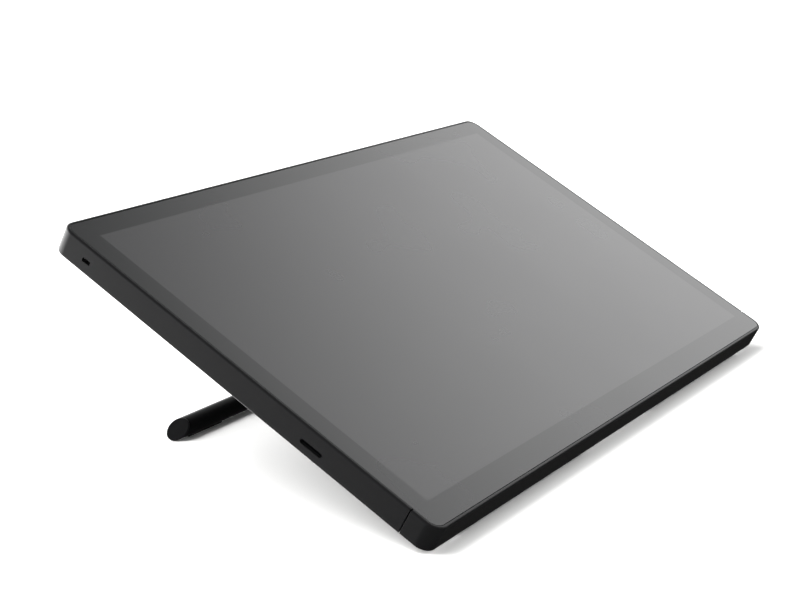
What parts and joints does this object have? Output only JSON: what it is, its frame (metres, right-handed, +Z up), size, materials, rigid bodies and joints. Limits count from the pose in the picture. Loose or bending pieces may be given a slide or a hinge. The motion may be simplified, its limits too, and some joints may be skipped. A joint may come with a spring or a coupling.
{
  "type": "pen display tablet",
  "caption": "Flat wide-format pen display with an etched glass front and black casing, leaning on a hinged rear stand with a round foot bar.",
  "frame": {"origin": "on the table under the middle of the whole object's box", "axes": "+X along the screen's long side to the user's right, +Y from the user towards the back, +Z up"},
  "size_m": [0.5662, 0.3064, 0.1778],
  "materials": {
    "etched_glass": "etched anti-glare cover glass over a dark panel",
    "panel_glass": "dark liquid-crystal panel",
    "black_abs": "black moulded plastic, fine satin texture",
    "painted_aluminium": "black powder coat on aluminium",
    "bare_aluminium": "mill finish sheet",
    "cast_magnesium": "as-cast light alloy",
    "steel": "plated sheet and turned steel",
    "black_screw": "black oxide steel",
    "rubber": "matt black rubber",
    "foam": "black foam tape and thermal pad",
    "circuit_board": "green solder mask",
    "clear_acrylic": "clear acrylic sheet",
    "white_film": "white optical film",
    "acetal": "black acetal",
    "ribbon": "flat flexible cable"
  },
  "bodies": {
    "display": {"front_glass": "etched_glass", "lcd_cell": "panel_glass", "rear_shell": "black_abs", "front_chin": "black_abs", "accessory_socket_left": "black_abs", "accessory_socket_right": "black_abs", "shield_sheet": "bare_aluminium", "chassis_frame": "cast_magnesium", "backlight_tray": "steel", "processor_shield": "steel", "lock_plate": "steel", "hinge_leaf_left": "steel", "hinge_leaf_right": "steel", "hinge_pin_left": "steel", "hinge_pin_right": "steel", "usb_socket_video": "steel", "usb_socket_power": "steel", "board_screw_1": "steel", "board_screw_2": "steel", "board_screw_3": "steel", "board_screw_4": "steel", "case_screw_1": "black_screw", "case_screw_2": "black_screw", "case_screw_3": "black_screw", "case_screw_4": "black_screw", "case_screw_5": "black_screw", "case_screw_6": "black_screw", "case_screw_7": "black_screw", "case_screw_8": "black_screw", "hinge_screw_1": "black_screw", "hinge_screw_2": "black_screw", "hinge_screw_3": "black_screw", "hinge_screw_4": "black_screw", "front_foot_left": "rubber", "front_foot_right": "rubber", "glass_gasket": "foam", "thermal_pad": "foam", "digitizer_board": "circuit_board", "main_board": "circuit_board", "panel_driver_board": "circuit_board", "switch_board": "circuit_board", "light_guide": "clear_acrylic", "diffuser_sheet": "white_film", "reflector_sheet": "white_film", "led_strip": "white_film", "power_switch": "acetal", "friction_washer_left_outer": "acetal", "friction_washer_left_inner": "acetal", "friction_washer_right_outer": "acetal", "friction_washer_right_inner": "acetal", "panel_flat_cable": "ribbon"},
    "stand": {"stand_plate": "painted_aluminium", "foot_bar": "painted_aluminium", "bar_end_cap_left": "black_abs", "bar_end_cap_right": "black_abs", "foot_pad_left": "rubber", "foot_pad_right": "rubber"},
    "power_button": {"power_button": "acetal"}
  },
  "joints": [
    {"name": "stand_hinge", "type": "hinge", "parent": "display", "child": "stand", "pos_m": [0, 0.11489, 0.14361], "axis": [1, 0, 0], "range_deg": [-64.1, 0]},
    {"name": "power_press", "type": "slide", "parent": "display", "child": "power_button", "axis": [0, -0.8809, -0.4733], "range_m": [0, 0.0008], "stiffness_N_per_m": 1500}
  ]
}
